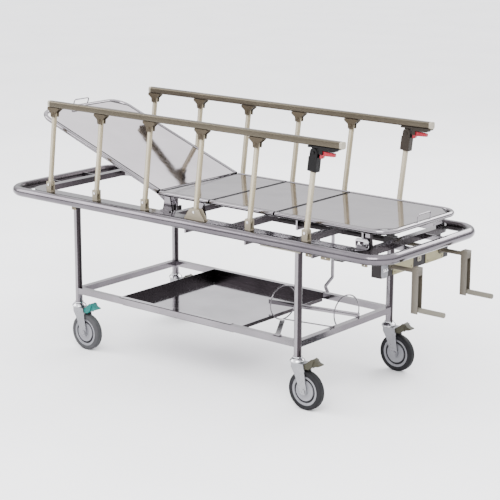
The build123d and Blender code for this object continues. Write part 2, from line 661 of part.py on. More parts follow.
# ---------------------------------------------------------------- cranks and folding grips
ARM_LOW = CRANK_Z - 158
ARM_HIGH = CRANK_Z + 15
ARM_X = (MID_X + 1010, MID_X + 1038)
ARM_HALF_Y = 15
GRIP_Z = CRANK_Z - 145
GRIP_X = MID_X + 1028
GRIP_R = 10
GRIP_END = HEAD_X + BUMPER_LENGTH + CRANK_REACH
for name, side in SIDES.items():
    y = side * CRANK_Y
    with BuildPart() as crank:
        rod_x(y, CRANK_Z, SCREW_R, MID_X + 570, ARM_X[0] + 2)
        rod_x(y, CRANK_Z, SCREW_R + 5, channel_x[0] - 12, channel_x[0] - 0.5)
        rod_x(y, CRANK_Z, SCREW_R + 5, channel_x[1] + 0.5, channel_x[1] + 12)
        box((ARM_X[0], y - ARM_HALF_Y, ARM_LOW), (ARM_X[1], y + ARM_HALF_Y, ARM_HIGH))
        box(
            (ARM_X[0] + 3, y - ARM_HALF_Y + 3, ARM_LOW - 1),
            (ARM_X[1] + 1, y + ARM_HALF_Y - 3, CRANK_Z - 14),
            Mode.SUBTRACT,
        )
        rod_y(GRIP_X, GRIP_Z, BOLT, y - ARM_HALF_Y, y + ARM_HALF_Y)
    crank.part.label = name + "_crank"
    export_step(crank.part, "parts/" + name + "_crank.step")
    with BuildPart() as grip:
        rod_y(GRIP_X, GRIP_Z, 8, y - 10, y + 10)
        box((GRIP_X, y - 10, GRIP_Z - 6), (GRIP_X + 16, y + 10, GRIP_Z + 6))
        rod_x(y, GRIP_Z, GRIP_R, GRIP_X + 12, GRIP_END)
        fillet(grip.faces().sort_by(Axis.X)[-1].edges(), 3)
        rod_y(GRIP_X, GRIP_Z, BOLT + SHAFT_FIT, y - 12, y + 12, Mode.SUBTRACT)
    grip.part.label = name + "_crank_grip"
    export_step(grip.part, "parts/" + name + "_crank_grip.step")


# ---------------------------------------------------------------- side rails
def post_plane(name, index, y):
    """Plane whose X runs up a post from its lower pivot and whose Z is +Y."""
    lean = radians(POST_LEAN)
    origin = (post_x(name, index), y, POST_PIVOT_Z)
    return Plane(origin=origin, x_dir=(sin(lean), 0, cos(lean)), z_dir=(0, 1, 0))


SLEEVE_TOP = 17                         # sleeve's shoulder, below the upper pivot
SLEEVE_END = 72
SLEEVE_HALF = 20
SLEEVE_HALF_Y = 13
LATCH_POST = 5
BLOCK_LOW = RAIL_BOTTOM - 14
for name, side in SIDES.items():
    y = side * POST_Y
    for index in range(6):
        with BuildPart() as post:
            with BuildSketch(post_plane(name, index, y)):
                if index == LATCH_POST:
                    length = POST_LENGTH - SLEEVE_TOP - 3
                    Circle(POST_WIDE / 2)
                    with Locations((length / 2, 0)):
                        Rectangle(length, POST_WIDE)
                else:
                    with Locations((POST_LENGTH / 2, 0)):
                        SlotCenterToCenter(POST_LENGTH, POST_WIDE)
            extrude(amount=POST_THICK / 2, both=True)
            long_edges = [e for e in post.edges() if e.length > POST_LENGTH * 0.8]
            fillet(long_edges, 5)
            rod_y(post_x(name, index), POST_PIVOT_Z, BOLT + SHAFT_FIT, y - 10, y + 10, Mode.SUBTRACT)
            if index != LATCH_POST:
                rod_y(top_pivot_x(name, index), TOP_PIVOT_Z, BOLT + SHAFT_FIT, y - 10, y + 10, Mode.SUBTRACT)
        label = name + "_post_" + str(index + 1)
        post.part.label = label
        export_step(post.part, "parts/" + label + ".step")

    rail_low = top_pivot_x(name, 0) - 18
    rail_high = MID_X + RAIL_END[name] - 11
    with BuildPart() as top_rail:
        with BuildSketch(Plane.YZ.offset(rail_low)):
            with Locations((y, RAIL_BOTTOM + RAIL_TALL / 2)):
                RectangleRounded(RAIL_WIDE, RAIL_TALL, 7)
                RectangleRounded(RAIL_WIDE - 4, RAIL_TALL - 4, 5, mode=Mode.SUBTRACT)
        extrude(amount=rail_high - rail_low)
    top_rail.part.label = name + "_top_rail"
    export_step(top_rail.part, "parts/" + name + "_top_rail.step")

    with BuildPart() as fittings:
        # tapered brackets that hang from the rail and hold the posts
        for index in range(5):
            x = top_pivot_x(name, index)
            top = RAIL_BOTTOM
            for low_y, high_y in ((y - CHEEK_OUT, y - CHEEK_IN), (y + CHEEK_IN, y + CHEEK_OUT)):
                plate_y(
                    (
                        (x - 32, top), (x + 32, top), (x + 32, top - 8), (x + 14, top - 22),
                        (x + 12, top - 40), (x - 12, top - 40), (x - 14, top - 22), (x - 32, top - 8),
                    ),
                    low_y,
                    high_y,
                )
            box((x - 32, y - CHEEK_OUT, top - 8), (x + 32, y + CHEEK_OUT, top))
            rod_y(x, TOP_PIVOT_Z, BOLT + SHAFT_FIT, y - 14, y + 14, Mode.SUBTRACT)
        # block over the latch post: tongue for the sleeve, ears for the latch lever
        x = top_pivot_x(name, LATCH_POST)
        plate_y(
            (
                (x - 27, RAIL_BOTTOM), (x + 110, RAIL_BOTTOM), (x + 109, RAIL_BOTTOM - 6),
                (x + 98, RAIL_BOTTOM - 8), (x + 94, BLOCK_LOW), (x + 22, BLOCK_LOW),
                (x + 22, RAIL_BOTTOM - 7), (x - 27, RAIL_BOTTOM - 7),
            ),
            y - CHEEK_OUT,
            y + CHEEK_OUT,
        )
        link_y((x, TOP_PIVOT_Z), (x, RAIL_BOTTOM - 12), 24, y - 8, y + 8)
        rod_y(x, TOP_PIVOT_Z, BOLT + SHAFT_FIT, y - 14, y + 14, Mode.SUBTRACT)
        LEVER_PIN = 2.5
        pin_x = x + 32
        pin_z = TOP_PIVOT_Z + 3
        for low_y, high_y in ((y - CHEEK_OUT, y - CHEEK_IN), (y + CHEEK_IN, y + CHEEK_OUT)):
            box((pin_x - 8, low_y, pin_z - 7), (pin_x + 8, high_y, BLOCK_LOW))
        rod_y(pin_x, pin_z, LEVER_PIN, y - CHEEK_OUT, y + CHEEK_OUT)
        # end caps
        for cap_low, cap_high in ((rail_high, rail_high + 11), (rail_low - 11, rail_low)):
            with BuildSketch(Plane.YZ.offset(cap_low)):
                with Locations((y, RAIL_BOTTOM + RAIL_TALL / 2)):
                    RectangleRounded(RAIL_WIDE, RAIL_TALL, 7)
            extrude(amount=cap_high - cap_low)
        # pins through the upper pivots
        for index in range(6):
            bolt_low = y - (SLEEVE_HALF_Y if index == LATCH_POST else CHEEK_OUT)
            bolt_high = y + (SLEEVE_HALF_Y if index == LATCH_POST else CHEEK_OUT)
            bolt_y(top_pivot_x(name, index), TOP_PIVOT_Z, BOLT, bolt_low, bolt_high)
    fittings.part.label = name + "_rail_fittings"
    export_step(fittings.part, "parts/" + name + "_rail_fittings.step")

    with BuildPart() as sleeve:
        middle = POST_LENGTH - (SLEEVE_TOP + SLEEVE_END) / 2
        with BuildSketch(post_plane(name, LATCH_POST, y)):
            with Locations((middle, 0)):
                Rectangle(SLEEVE_END - SLEEVE_TOP, 2 * SLEEVE_HALF)
            with Locations((POST_LENGTH, 0)):
                Circle(16.3)
            with Locations((POST_LENGTH - 12, 0)):
                Rectangle(24, 32.6)
        extrude(amount=SLEEVE_HALF_Y, both=True)
        # slot for the tongue
        with BuildSketch(post_plane(name, LATCH_POST, y)):
            with Locations((POST_LENGTH, 0)):
                Rectangle(2 * SLEEVE_TOP, 60)
        extrude(amount=CHEEK_IN, both=True, mode=Mode.SUBTRACT)
        # room for the post
        with BuildSketch(post_plane(name, LATCH_POST, y)):
            with Locations((POST_LENGTH - SLEEVE_END, 0)):
                Rectangle(2 * (SLEEVE_END - SLEEVE_TOP - 1), POST_WIDE + 0.2)
        extrude(amount=POST_THICK / 2 + 0.1, both=True, mode=Mode.SUBTRACT)
        rod_y(top_pivot_x(name, LATCH_POST), TOP_PIVOT_Z, BOLT + SHAFT_FIT, y - 14, y + 14, Mode.SUBTRACT)
    sleeve.part.label = name + "_latch_sleeve"
    export_step(sleeve.part, "parts/" + name + "_latch_sleeve.step")

    with BuildPart() as latch_lever:
        plate_y(
            (
                (pin_x - 3, BLOCK_LOW - 1.5), (pin_x + 6, BLOCK_LOW - 1.5), (pin_x + 58, BLOCK_LOW - 6.5),
                (pin_x + 58, BLOCK_LOW - 14), (pin_x + 5, BLOCK_LOW - 15), (pin_x + 2, BLOCK_LOW - 30),
                (pin_x - 7, BLOCK_LOW - 30), (pin_x - 7, BLOCK_LOW - 6),
            ),
            y - 8,
            y + 8,
        )
        rod_y(pin_x, pin_z, LEVER_PIN + SHAFT_FIT, y - 9, y + 9, Mode.SUBTRACT)
    latch_lever.part.label = name + "_latch_lever"
    export_step(latch_lever.part, "parts/" + name + "_latch_lever.step")

# ---------------------------------------------------------------- casters
KINGPIN = 6
AXLE = 6
FORK_IN = 20.5
FORK_OUT = 24
PEDAL_PIN = (36, 171)
with BuildPart() as caster_stems:
    for side in SIDES.values():
        for end in ENDS.values():
            x = MID_X + end * LEG_HALF_X
            y = side * LEG_HALF_Y
            rod_z(x, y, leg_r - WALL - 0.2, LEG_BOTTOM, LEG_BOTTOM + 50)
            rod_z(x, y, 19, LEG_BOTTOM - 4, LEG_BOTTOM)
            with BuildSketch(Plane.XZ.offset(-y)):
                with BuildLine():
                    Line((x, FORK_TOP + 0.3), (x + 30, FORK_TOP + 0.3))
                    Line((x + 30, FORK_TOP + 0.3), (x + 30, FORK_TOP + 5))
                    ThreePointArc((x + 30, FORK_TOP + 5), (x + 24, FORK_TOP + 12), (x, LEG_BOTTOM - 3.5))
                    Line((x, LEG_BOTTOM - 3.5), (x, FORK_TOP + 0.3))
                make_face()
            revolve(axis=Axis((x, y, 0), (0, 0, 1)))
            rod_z(x, y, KINGPIN, 168, FORK_TOP + 1)
            rod_z(x, y, 11, 168, FORK_TOP - 5.4)
caster_stems.part.label = "caster_stems"
export_step(caster_stems.part, "parts/caster_stems.step")

for side_name, side in SIDES.items():
    for end_name, end in ENDS.items():
        name = side_name + "_" + end_name
        x = MID_X + end * LEG_HALF_X
        y = side * LEG_HALF_Y
        axle_x = x + TRAIL
        with BuildPart() as fork:
            with BuildSketch(Plane.XY.offset(FORK_TOP - 5)):
                with Locations((x, y)):
                    Circle(27)
                with Locations((x + 21, y)):
                    Rectangle(42, 2 * FORK_OUT)
            extrude(amount=5)
            for low_y, high_y in ((y - FORK_OUT, y - FORK_IN), (y + FORK_IN, y + FORK_OUT)):
                plate_y(
                    (
                        (x - 13, FORK_TOP), (x + 44, FORK_TOP), (x + 50, 150), (axle_x + 16, WHEEL_R + 4),
                        (axle_x + 11, WHEEL_R - 12), (axle_x - 3, WHEEL_R - 16), (axle_x - 14, WHEEL_R - 8),
                        (x + 8, 130), (x - 13, 165),
                    ),
                    low_y,
                    high_y,
                )
            rod_z(x, y, KINGPIN + SHAFT_FIT, FORK_TOP - 6, FORK_TOP + 1, Mode.SUBTRACT)
            bolt_y(axle_x, WHEEL_R, AXLE, y - FORK_OUT + 0.2, y + FORK_OUT - 0.2)
            rod_y(x + PEDAL_PIN[0], PEDAL_PIN[1], BOLT, y - FORK_OUT, y + FORK_OUT)
        fork.part.label = name + "_fork"
        export_step(fork.part, "parts/" + name + "_fork.step")

        with BuildPart() as hub:
            rod_y(axle_x, WHEEL_R, HUB_R, y - 13, y + 13)
            for face in (-1, 1):
                groove_low, groove_high = sorted((y + face * 9, y + face * 14))
                rod_y(axle_x, WHEEL_R, 49, groove_low, groove_high, Mode.SUBTRACT)
                rod_y(axle_x, WHEEL_R, 40, groove_low, groove_high)
            rod_y(axle_x, WHEEL_R, 17, y - 19.5, y + 19.5)
            rod_y(axle_x, WHEEL_R, AXLE + SHAFT_FIT, y - 22, y + 22, Mode.SUBTRACT)
        hub.part.label = name + "_hub"
        export_step(hub.part, "parts/" + name + "_hub.step")

        with BuildPart() as tyre:
            rod_y(axle_x, WHEEL_R, WHEEL_R, y - TYRE_WIDTH / 2, y + TYRE_WIDTH / 2)
            fillet(tyre.edges().filter_by(GeomType.CIRCLE), 9)
            rod_y(axle_x, WHEEL_R, HUB_R, y - TYRE_WIDTH, y + TYRE_WIDTH, Mode.SUBTRACT)
        tyre.part.label = name + "_tyre"
        export_step(tyre.part, "parts/" + name + "_tyre.step")

        with BuildPart() as pedal:
            rod_y(x + PEDAL_PIN[0], PEDAL_PIN[1], 6, y - 19, y + 19)
            plate_y(
                (
                    (x + 38, 166), (x + 50, 164), (x + 64, 166), (x + 80, 178), (x + 126, 183),
                    (x + 139, 189), (x + 138, 194), (x + 114, 199), (x + 94, 208), (x + 82, 209),
                    (x + 66, 199), (x + 52, 184), (x + 44, 176.5), (x + 38, 176.5),
                ),
                y - 19,
                y + 19,
            )
            rod_y(x + PEDAL_PIN[0], PEDAL_PIN[1], BOLT + SHAFT_FIT, y - 21, y + 21, Mode.SUBTRACT)
        pedal.part.label = name + "_pedal"
        export_step(pedal.part, "parts/" + name + "_pedal.step")

# ---------------------------------------------------------------- drip rod
DRIP_TOP = 700
DRIP_BEND = 351
with BuildPart() as drip_rod:
    tube_path(
        (
            (DRIP_X, DRIP_Y, DRIP_TOP),
            (DRIP_X, DRIP_Y, DRIP_BEND),
            (DRIP_X - 37, DRIP_Y, DRIP_BEND - 46),
            (DRIP_X - 22, DRIP_Y, DRIP_BEND - 70),
        ),
        12,
        DRIP_R,
        0,
    )
    rod_z(DRIP_X, DRIP_Y, DRIP_R + 1.5, FRAME_TOP + 8.3, FRAME_TOP + 18)
drip_rod.part.label = "drip_rod"
export_step(drip_rod.part, "parts/drip_rod.step")
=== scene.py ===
import json
import math
import bmesh
import bpy
from mathutils import Matrix, Vector


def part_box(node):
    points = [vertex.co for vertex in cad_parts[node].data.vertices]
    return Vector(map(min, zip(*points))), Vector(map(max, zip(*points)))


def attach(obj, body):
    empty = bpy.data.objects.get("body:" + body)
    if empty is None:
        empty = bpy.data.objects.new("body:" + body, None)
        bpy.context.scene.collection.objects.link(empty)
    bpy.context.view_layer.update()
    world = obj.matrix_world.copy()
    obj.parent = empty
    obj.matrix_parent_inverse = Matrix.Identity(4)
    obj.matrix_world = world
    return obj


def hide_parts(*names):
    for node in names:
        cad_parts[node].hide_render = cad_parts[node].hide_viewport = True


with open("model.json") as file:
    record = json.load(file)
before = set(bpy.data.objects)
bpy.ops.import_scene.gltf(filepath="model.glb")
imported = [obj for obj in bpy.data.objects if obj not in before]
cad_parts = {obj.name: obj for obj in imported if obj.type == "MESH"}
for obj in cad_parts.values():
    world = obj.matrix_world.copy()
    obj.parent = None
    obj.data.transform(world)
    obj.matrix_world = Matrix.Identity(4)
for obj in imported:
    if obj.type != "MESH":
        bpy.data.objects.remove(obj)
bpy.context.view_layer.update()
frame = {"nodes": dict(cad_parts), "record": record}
nodes = frame["nodes"]
SIDES = {"near": -1, "far": 1}
ENDS = {"head": -1, "foot": 1}


COAT_SPECULAR = 0.15


# ------------------------------------------------------------------ materials
def new_material(name):
    mat = bpy.data.materials.new(name)
    mat.use_nodes = True
    tree = mat.node_tree
    shader = tree.nodes["Principled BSDF"]
    return mat, tree, shader


def noise(tree, scale, stretch=(1, 1, 1), detail=4.0):
    """Noise in the object's own space, drawn out along the axes named by stretch."""
    coord = tree.nodes.new("ShaderNodeTexCoord")
    mapping = tree.nodes.new("ShaderNodeMapping")
    mapping.inputs["Scale"].default_value = stretch
    tex = tree.nodes.new("ShaderNodeTexNoise")
    tex.inputs["Scale"].default_value = scale
    tex.inputs["Detail"].default_value = detail
    tree.links.new(coord.outputs["Object"], mapping.inputs["Vector"])
    tree.links.new(mapping.outputs["Vector"], tex.inputs["Vector"])
    return tex.outputs["Fac"]


def spread(tree, fac, low, high):
    """Maps noise onto a range of values."""
    node = tree.nodes.new("ShaderNodeMapRange")
    node.inputs["From Min"].default_value = 0.3
    node.inputs["From Max"].default_value = 0.7
    node.inputs["To Min"].default_value = low
    node.inputs["To Max"].default_value = high
    tree.links.new(fac, node.inputs["Value"])
    return node.outputs["Result"]


def tint(tree, fac, dark, light):
    """A ramp between two close colours."""
    ramp = tree.nodes.new("ShaderNodeValToRGB")
    ramp.color_ramp.elements[0].position = 0.3
    ramp.color_ramp.elements[0].color = (*dark, 1)
    ramp.color_ramp.elements[1].position = 0.7
    ramp.color_ramp.elements[1].color = (*light, 1)
    tree.links.new(fac, ramp.inputs["Fac"])
    return ramp.outputs["Color"]


def bump(tree, shader, fac, strength, distance):
    node = tree.nodes.new("ShaderNodeBump")
    node.inputs["Strength"].default_value = strength
    node.inputs["Distance"].default_value = distance
    tree.links.new(fac, node.inputs["Height"])
    tree.links.new(node.outputs["Normal"], shader.inputs["Normal"])


def edge_wear(tree, colour, worn, amount):
    """Lightens a coat where the surface is convex."""
    geo = tree.nodes.new("ShaderNodeNewGeometry")
    ramp = tree.nodes.new("ShaderNodeMapRange")
    ramp.inputs["From Min"].default_value = 0.52
    ramp.inputs["From Max"].default_value = 0.62
    ramp.inputs["To Max"].default_value = amount
    mix = tree.nodes.new("ShaderNodeMix")
    mix.data_type = "RGBA"
    mix.inputs["B"].default_value = (*worn, 1)
    tree.links.new(geo.outputs["Pointiness"], ramp.inputs["Value"])
    tree.links.new(ramp.outputs["Result"], mix.inputs["Factor"])
    tree.links.new(colour, mix.inputs["A"])
    return mix.outputs["Result"]


def metal(name, dark, light, rough, grain=(1, 1, 1), grain_scale=60, wave=0.0):
    """Bare or plated metal with drawn grain, faint stains and handling marks."""
    mat, tree, shader = new_material(name)
    shader.inputs["Metallic"].default_value = 1.0
    stain = noise(tree, 5.0, detail=6.0)
    tree.links.new(tint(tree, stain, dark, light), shader.inputs["Base Color"])
    lines = noise(tree, grain_scale, grain, detail=8.0)
    tree.links.new(spread(tree, lines, rough[0], rough[1]), shader.inputs["Roughness"])
    if wave:
        bump(tree, shader, noise(tree, 7.0, detail=2.0), 0.5, wave)
    else:
        bump(tree, shader, lines, 0.12, 0.0004)
    return mat


def coat(name, dark, light, rough, pebble=900.0, depth=0.0002, worn=None, clear=0.0):
    """Powder coat, moulded plastic or rubber: small grain, slow colour change and lighter edges."""
    mat, tree, shader = new_material(name)
    slow = noise(tree, 9.0, detail=5.0)
    colour = tint(tree, slow, dark, light)
    if worn:
        colour = edge_wear(tree, colour, worn, 0.7)
    tree.links.new(colour, shader.inputs["Base Color"])
    fine = noise(tree, pebble, detail=3.0)
    tree.links.new(spread(tree, noise(tree, 40.0), rough[0], rough[1]), shader.inputs["Roughness"])
    shader.inputs["Coat Weight"].default_value = clear
    shader.inputs["Specular IOR Level"].default_value = COAT_SPECULAR
    bump(tree, shader, fine, 0.3, depth)
    return mat


ALONG_X = (0.04, 1, 1)
ALONG_Z = (1, 1, 0.04)
M = {
    "tube": metal(
        "stainless_tube", (0.17, 0.158, 0.17), (0.25, 0.235, 0.25),
        (0.10, 0.20), ALONG_X, 140,
    ),
    # painted shade: a dark copy of the tube's stainless, for faces turned away from the light
    "tube_shade": metal(
        "stainless_shade", (0.0225, 0.019, 0.021), (0.0425, 0.036, 0.04),
        (0.22, 0.36), ALONG_X, 140,
    ),
    # painted shade: a half-dark copy of the tube's stainless, for faces turned away from the light
    # where the dark copy is too dark
    "tube_half_shade": metal(
        "stainless_half_shade", (0.11, 0.10, 0.11), (0.17, 0.155, 0.17),
        (0.16, 0.28), ALONG_X, 140,
    ),
    "leg": metal(
        "stainless_leg", (0.19, 0.177, 0.19), (0.26, 0.245, 0.26),
        (0.14, 0.28), ALONG_Z, 140,
    ),
    "bumper": metal(
        "stainless_bumper", (0.101, 0.0904, 0.102), (0.145, 0.133, 0.146),
        (0.12, 0.22), ALONG_X, 120,
    ),
    "sheet": metal(
        "stainless_sheet", (0.351, 0.335, 0.36), (0.468, 0.452, 0.477),
        (0.06, 0.11), ALONG_X, 90,
    ),
    "mirror": metal(
        "mirror_plate", (0.348, 0.321, 0.339), (0.408, 0.381, 0.399),
        (0.06, 0.11), ALONG_X, 80, 0.0012,
    ),
    "chrome": metal(
        "chrome_cap", (0.435, 0.435, 0.45), (0.54, 0.54, 0.555),
        (0.05, 0.12), wave=0.0002,
    ),
    "zinc": metal(
        "pressed_zinc", (0.223, 0.223, 0.236), (0.31, 0.31, 0.322),
        (0.22, 0.38), grain_scale=45,
    ),
    "champagne": metal(
        "champagne_rail", (0.072, 0.0612, 0.045), (0.0972, 0.0842, 0.063),
        (0.28, 0.40), ALONG_X, 160,
    ),
    "post": coat(
        "ivory_post", (0.223, 0.189, 0.124), (0.285, 0.245, 0.167),
        (0.26, 0.40), worn=(0.446, 0.409, 0.322),
    ),
    "bracket": coat(
        "beige_bracket", (0.0414, 0.0317, 0.0198), (0.0594, 0.0461, 0.0295),
        (0.36, 0.50),
    ),
    "socket": coat(
        "beige_socket", (0.144, 0.12, 0.0792), (0.182, 0.154, 0.106),
        (0.34, 0.48), worn=(0.264, 0.235, 0.182),
    ),
    "cap": coat("pale_cap", (0.252, 0.228, 0.18), (0.3, 0.276, 0.222), (0.35, 0.48)),
    # black mouldings; the deck panels' rings use the same black as painted shade along their seams
    "black": coat(
        "black_moulding_and_shade", (0.00176, 0.00154, 0.00176), (0.00396, 0.00352, 0.00374),
        (0.35, 0.5), 600.0,
    ),
    "taupe": coat(
        "taupe_moulding", (0.02, 0.016, 0.0124), (0.03, 0.024, 0.0188),
        (0.38, 0.5), 600.0,
    ),
    "red": coat(
        "red_lever", (0.21, 0.0025, 0.011), (0.27, 0.005, 0.0175),
        (0.2, 0.3), 300.0, 0.0001, clear=0.4,
    ),
    "channel": coat(
        "cream_channel", (0.231, 0.209, 0.121), (0.286, 0.259, 0.154),
        (0.4, 0.55), worn=(0.33, 0.308, 0.231),
    ),
    "crank": coat(
        "beige_crank", (0.0554, 0.0466, 0.0353), (0.0756, 0.0654, 0.0504),
        (0.28, 0.42), worn=(0.126, 0.116, 0.0984),
    ),
    "grip": coat("pale_grip", (0.118, 0.108, 0.0882), (0.141, 0.132, 0.108), (0.36, 0.5), 500.0),
    # dark steel for the push rods; on the crank channel the same dark is painted shade in the gap
    # between its covers
    "dark": coat("dark_steel_and_shade", (0.011, 0.009, 0.01), (0.021, 0.017, 0.018), (0.32, 0.46), 400.0),
    "rubber": coat(
        "grey_rubber", (0.00847, 0.00847, 0.00966), (0.0139, 0.0135, 0.015),
        (0.55, 0.75), 500.0, 0.0003,
    ),
    "pale_rubber": coat(
        "pale_rubber", (0.0385, 0.0385, 0.0406), (0.056, 0.056, 0.0588),
        (0.55, 0.75), 500.0, 0.0003,
    ),
    "hub": coat("grey_hub", (0.169, 0.169, 0.184), (0.231, 0.231, 0.248), (0.35, 0.5)),
    # painted shade: a dark ring on the hub where its groove is
    "groove": coat("hub_groove_shade", (0.01, 0.01, 0.0112), (0.016, 0.016, 0.0176), (0.5, 0.6)),
    "teal": coat("teal_pedal", (0.0048, 0.088, 0.08), (0.0112, 0.128, 0.116), (0.35, 0.5)),
    "olive": coat("olive_pedal", (0.036, 0.0336, 0.0228), (0.054, 0.051, 0.036), (0.4, 0.55)),
}


def paint(obj, *names):
    obj.data.materials.clear()
    for name in names:
        obj.data.materials.append(M[name])


def smooth(obj, angle=32.0):
    """Smooth shading with hard edges kept."""
    obj.data.polygons.foreach_set("use_smooth", [True] * len(obj.data.polygons))
    weld = obj.modifiers.new("weld", "WELD")
    weld.merge_threshold = 0.00001
    split = obj.modifiers.new("split", "EDGE_SPLIT")
    split.split_angle = math.radians(angle)


def paint_where(obj, index, test):
    """Gives another slot to the faces whose centre passes the test."""
    for face in obj.data.polygons:
        if test(face.center):
            face.material_index = index


plain = {
    "bumper_rail": "bumper", "main_frame": "tube", "undercarriage": "tube", "storage_tray": "sheet",
    # the crank channel's dark paint is painted shade, seen in the gap between its covers
    "oxygen_holder": "tube", "crank_channel": "dark", "post_sockets": "socket", "pivot_bolts": "chrome",
    "seat_frame": "tube", "thigh_frame": "tube", "leg_frame": "tube", "backrest_frame": "tube",
    "seat_panel": "mirror", "thigh_panel": "mirror", "leg_panel": "mirror", "backrest_panel": "mirror",
    "back_push_rod": "dark", "knee_pull_rod": "dark", "caster_stems": "chrome", "drip_rod": "tube",
}
for side in SIDES:
    plain[side + "_crank"] = "crank"
    plain[side + "_crank_grip"] = "grip"
    plain[side + "_top_rail"] = "champagne"
    plain[side + "_latch_lever"] = "red"
    plain[side + "_latch_sleeve"] = "black" if side == "near" else "taupe"
    for index in range(6):
        plain[side + "_post_" + str(index + 1)] = "post"
    for end in ENDS:
        caster = side + "_" + end
        plain[caster + "_fork"] = "zinc"
        plain[caster + "_hub"] = "hub"
        plain[caster + "_tyre"] = "pale_rubber" if caster == "near_head" else "rubber"
        plain[caster + "_pedal"] = "teal" if caster == "near_head" else "olive"
for node, name in plain.items():
    paint(nodes[node], name)
LATCH_MARGIN = 0.01      # the latch block starts this far before its sleeve
FACE_SKIN = 0.0005
for side in SIDES:
    fittings = nodes[side + "_rail_fittings"]
    latch = "black" if side == "near" else "taupe"
    paint(fittings, "bracket", latch, "cap", "chrome")
    latch_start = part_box(side + "_latch_sleeve")[0].x - LATCH_MARGIN
    rail_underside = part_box(side + "_top_rail")[0].z + FACE_SKIN
    paint_where(fittings, 1, lambda c: c.x > latch_start and c.z < rail_underside)
    paint_where(fittings, 2, lambda c: c.z > rail_underside)


def shade_where(node, material, test):
    """Adds a second material to a node, on the faces whose centre and normal pass the test; mostly it
    paints shade with dark copies of the stainless, and it also gives the legs and the panels'
    undersides their own finishes.
    """
    obj = nodes[node]
    obj.data.materials.append(M[material])
    slot = len(obj.data.materials) - 1
    for face in obj.data.polygons:
        if test(face.center, face.normal):
            face.material_index = slot


def inner_face(c, n):
    """The bumper's side towards the middle, all the way round, and its underside: the faces that get
    painted shade.
    """
    across = (c.y < -BUMPER_SIDE and n.y > INWARD) or (c.y > BUMPER_SIDE and n.y < -INWARD)
    along = (c.x > BUMPER_FOOT and n.x < -INWARD) or (c.x < BUMPER_HEAD and n.x > INWARD)
    return across or along or n.z < UNDERSIDE


INWARD = 0.45                           # least part of a normal that points to the middle
UNDERSIDE = -0.75
BUMPER_SIDE = 0.30
BUMPER_FOOT = 0.86
BUMPER_HEAD = -1.0
LEG_Z = (0.27, 0.56)                    # height of the bare legs
HUB_GROOVE = (0.041, 0.046)             # inner and outer radius
shade_where("undercarriage", "leg", lambda c, n: LEG_Z[0] < c.z < LEG_Z[1])
# painted shade: half-dark stainless on the undercarriage's faces towards +X below the legs and on its
# undersides
shade_where("undercarriage", "tube_half_shade", lambda c, n: (n.x > 0.5 and c.z < LEG_Z[0]) or n.z < -0.5)
# painted shade and painted reflection: dark stainless on the faces towards +X from the legs up, a dark
# streak down each leg
shade_where("undercarriage", "tube_shade", lambda c, n: n.x > 0.5 and c.z > LEG_Z[0])
# painted shade: dark stainless on the main frame's undersides and on its faces towards the head and
# foot
shade_where("main_frame", "tube_shade", lambda c, n: n.z < -0.3 or abs(n.x) > 0.6)
# painted shade: dark stainless on the tray's walls
shade_where("storage_tray", "tube_shade", lambda c, n: abs(n.z) < 0.5)
# painted shade: dark stainless under the oxygen holder
shade_where("oxygen_holder", "tube_shade", lambda c, n: n.z < -0.35)
# painted shade: dark stainless on the bumper's inner side and underside
shade_where("bumper_rail", "tube_shade", inner_face)
for name in ("seat", "thigh", "leg", "backrest"):
    # painted shade: dark stainless under each deck frame
    shade_where(name + "_frame", "tube_shade", lambda c, n: n.z < -0.25)
    shade_where(name + "_panel", "sheet", lambda c, n: n.z < -0.5)
for side in SIDES:
    for end in ENDS:
        hub = side + "_" + end + "_hub"
        middle = sum(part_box(hub), Vector()) / 2
        # painted shade: a dark finish on the hub's faces in the ring of its groove
        shade_where(
            hub,
            "groove",
            lambda c, n: HUB_GROOVE[0] < math.hypot(c.x - middle.x, c.z - middle.z) < HUB_GROOVE[1],
        )
for obj in nodes.values():
    smooth(obj)


# ------------------------------------------------------------------ sheet-metal pieces and bolts
def place_mesh(name, mesh, origin, axes, material, body):
    """Sets a mesh drawn about its own origin into the frame, with a finish and body."""
    turn = Matrix(axes).transposed().to_4x4()
    mesh.transform(Matrix.Translation(Vector(origin)) @ turn)
    mesh.materials.append(M[material])
    piece = bpy.data.objects.new(name, mesh)
    bpy.context.scene.collection.objects.link(piece)
    smooth(piece)
    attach(piece, body)
    return piece


def circle(x, y, radius, count=24):
    """Points round a circle."""
    steps = [2 * math.pi * k / count for k in range(count)]
    return [(x + radius * math.cos(a), y + radius * math.sin(a)) for a in steps]


def rounded(low, high, radius, count=5):
    """Corners of a rectangle with rounded ends, going round once."""
    points = []
    corners = ((high[0], high[1]), (low[0], high[1]), (low[0], low[1]), (high[0], low[1]))
    for quarter, (x, y) in enumerate(corners):
        cx = x - radius if x == high[0] else x + radius
        cy = y - radius if y == high[1] else y + radius
        for k in range(count + 1):
            a = (quarter + k / count) * math.pi / 2
            points.append((cx + radius * math.cos(a), cy + radius * math.sin(a)))
    return points


def plate(
    name, outline, thick, origin, axes, material, slot, body="chassis", holes=(), soft=0.0006
):
    """Pressed plate: an outline with holes in its own plane, given thickness and softened edges."""
    curve = bpy.data.curves.new(name, "CURVE")
    curve.dimensions = "2D"
    curve.fill_mode = "BOTH"
    curve.extrude = thick / 2 - soft
    curve.bevel_depth = soft
    curve.bevel_resolution = 2
    curve.offset = -soft
    for ring in [outline, *holes]:
        spline = curve.splines.new("POLY")
        spline.points.add(len(ring) - 1)
        for point, (x, y) in zip(spline.points, ring):
            point.co = (x, y, 0, 1)
        spline.use_cyclic_u = True
    holder = bpy.data.objects.new(name + "_outline", curve)
    mesh = bpy.data.meshes.new_from_object(holder)
    bpy.data.objects.remove(holder)
    mesh.name = name
    return place_mesh(name, mesh, origin, axes, material, body)


WASHER = 0.0012


